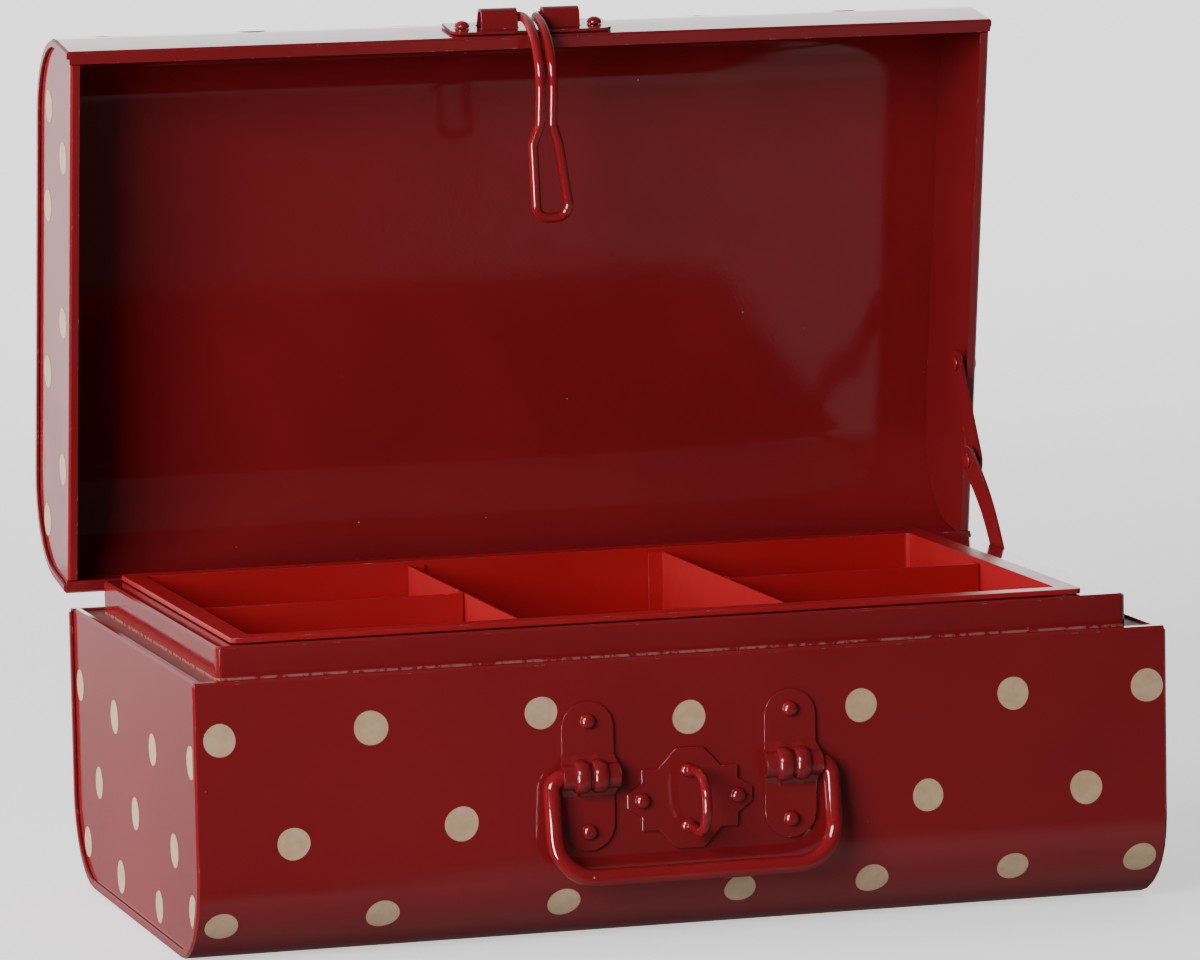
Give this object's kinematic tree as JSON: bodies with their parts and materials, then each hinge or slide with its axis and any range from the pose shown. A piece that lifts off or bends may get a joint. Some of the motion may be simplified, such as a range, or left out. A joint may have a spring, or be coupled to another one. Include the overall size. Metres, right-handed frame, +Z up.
{
  "type": "storage suitcase",
  "caption": "Red enamelled metal case with rounded edges, a hinged lid on a folding stay, a lift-out divided tray, a bail handle, and a wire hasp over a staple.",
  "frame": {"origin": "centre of the flat underside that the case stands on", "axes": "+X to the right of someone facing the front with the handle and staple, +Y towards the hinged back, +Z up"},
  "size_m": [0.3, 0.239, 0.2681],
  "materials": {
    "red_enamel": "deep glossy red enamel with worn edges and dust",
    "tray_enamel": "bright red enamel, a little duller than the case",
    "pin_steel": "bare steel"
  },
  "bodies": {
    "case_body": {"base_wrap": "red_enamel", "base_end_left": "red_enamel", "base_end_right": "red_enamel", "neck_frame": "red_enamel", "hinge_base_leaf_left": "red_enamel", "hinge_base_leaf_right": "red_enamel", "hinge_pin_left": "pin_steel", "hinge_pin_right": "pin_steel", "handle_bracket_left": "red_enamel", "handle_bracket_right": "red_enamel", "staple_plate": "red_enamel", "staple_loop": "red_enamel", "bracket_rivet_1": "red_enamel", "bracket_rivet_2": "red_enamel", "bracket_rivet_3": "red_enamel", "bracket_rivet_4": "red_enamel", "staple_rivet_1": "red_enamel", "staple_rivet_2": "red_enamel", "hinge_base_rivet_1": "red_enamel", "hinge_base_rivet_2": "red_enamel", "hinge_base_rivet_3": "red_enamel", "hinge_base_rivet_4": "red_enamel", "stay_foot_rivet": "red_enamel"},
    "lid": {"lid_wrap": "red_enamel", "lid_end_left": "red_enamel", "lid_end_right": "red_enamel", "hinge_lid_leaf_left": "red_enamel", "hinge_lid_leaf_right": "red_enamel", "hasp_plate": "red_enamel", "hinge_lid_rivet_1": "red_enamel", "hinge_lid_rivet_2": "red_enamel", "hinge_lid_rivet_3": "red_enamel", "hinge_lid_rivet_4": "red_enamel", "hasp_rivet_1": "red_enamel", "hasp_rivet_2": "red_enamel", "stay_lid_rivet": "red_enamel"},
    "hasp": {"hasp_wire": "red_enamel"},
    "handle": {"bail_handle": "red_enamel"},
    "tray": {"tray_pan": "tray_enamel", "tray_cross_divider_left": "tray_enamel", "tray_cross_divider_right": "tray_enamel", "tray_long_divider_left": "tray_enamel", "tray_long_divider_right": "tray_enamel"},
    "stay_upper": {"stay_upper_link": "red_enamel", "stay_elbow_rivet": "red_enamel"},
    "stay_lower": {"stay_lower_link": "red_enamel", "stay_elbow_cap": "red_enamel"}
  },
  "joints": [
    {"name": "lid_hinge", "type": "hinge", "parent": "case_body", "child": "lid", "pos_m": [0, 0.09065, 0.0843], "axis": [-1, 0, 0], "range_deg": [-81.2, 0]},
    {"name": "handle_swing", "type": "hinge", "parent": "case_body", "child": "handle", "pos_m": [-0.0007, -0.08945, 0.05102], "axis": [-1, 0, 0], "range_deg": [-10, 165]},
    {"name": "tray_lift", "type": "slide", "parent": "case_body", "child": "tray", "axis": [0, 0, 1], "range_m": [0, 0.028]},
    {"name": "hasp_swing", "type": "hinge", "parent": "lid", "child": "hasp", "pos_m": [-0.0007, 0.07358, 0.26517], "axis": [-1, 0, 0], "range_deg": [0, 93]},
    {"name": "stay_upper_fold", "type": "hinge", "parent": "lid", "child": "stay_upper", "pos_m": [0.1441, 0.08692, 0.14763], "axis": [-1, 0, 0], "range_deg": [-151.2, 0]},
    {"name": "stay_lower_fold", "type": "hinge", "parent": "case_body", "child": "stay_lower", "pos_m": [0.1415, 0.0395, 0.09], "axis": [-1, 0, 0], "range_deg": [-82.2, 0]}
  ],
  "couplings": [
    {"joint": "hasp_swing", "follows": "lid_hinge", "ratio": -1.145},
    {"joint": "stay_upper_fold", "follows": "lid_hinge", "ratio": 1.8612},
    {"joint": "stay_lower_fold", "follows": "lid_hinge", "ratio": 1.0112}
  ]
}
